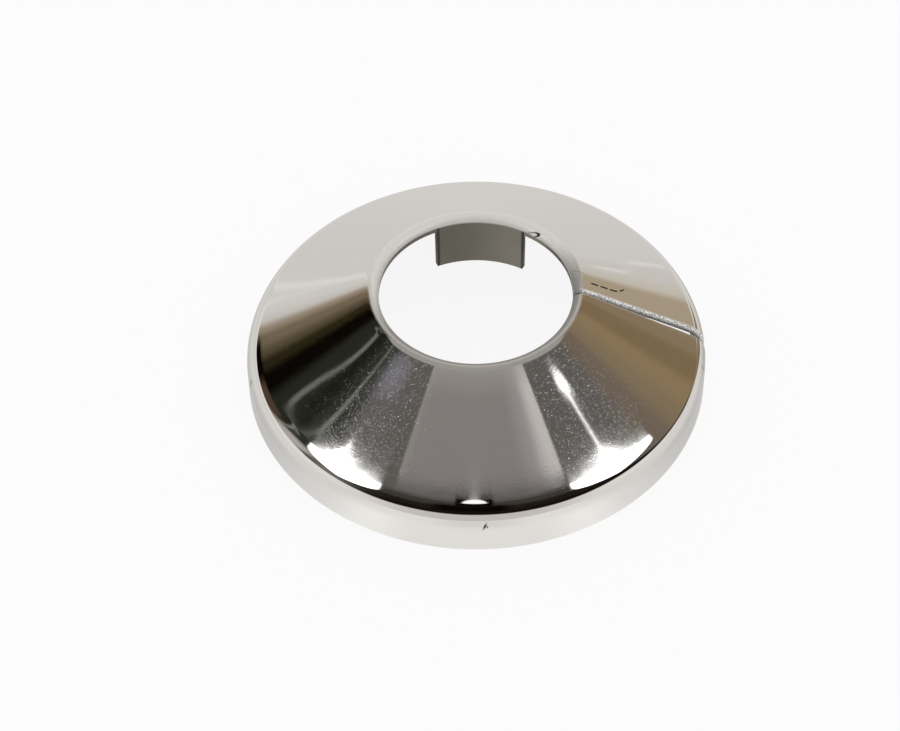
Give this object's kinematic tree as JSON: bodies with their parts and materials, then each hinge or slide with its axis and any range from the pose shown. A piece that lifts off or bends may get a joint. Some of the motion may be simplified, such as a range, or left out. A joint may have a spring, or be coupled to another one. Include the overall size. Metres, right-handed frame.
{
  "type": "pipe rosette",
  "caption": "Conical stamped pipe rosette with a low skirt, a rolled lip round the bore, spring tongues inside and a slit from bore to skirt.",
  "frame": {"origin": "centre of the base plane, on the axis of the bore", "axes": "+Z along the bore, from the wall side up to the lip; +X towards the mouth of the slit; +Y completes the right-handed frame and points at the tongue that the picture shows"},
  "size_m": [0.054, 0.054, 0.0142],
  "materials": {
    "chrome_plate": "bright chrome plate on pressed sheet steel, polished outside, duller on the tongues and underneath"
  },
  "bodies": {
    "root": {"rosette": "chrome_plate"}
  },
  "joints": []
}
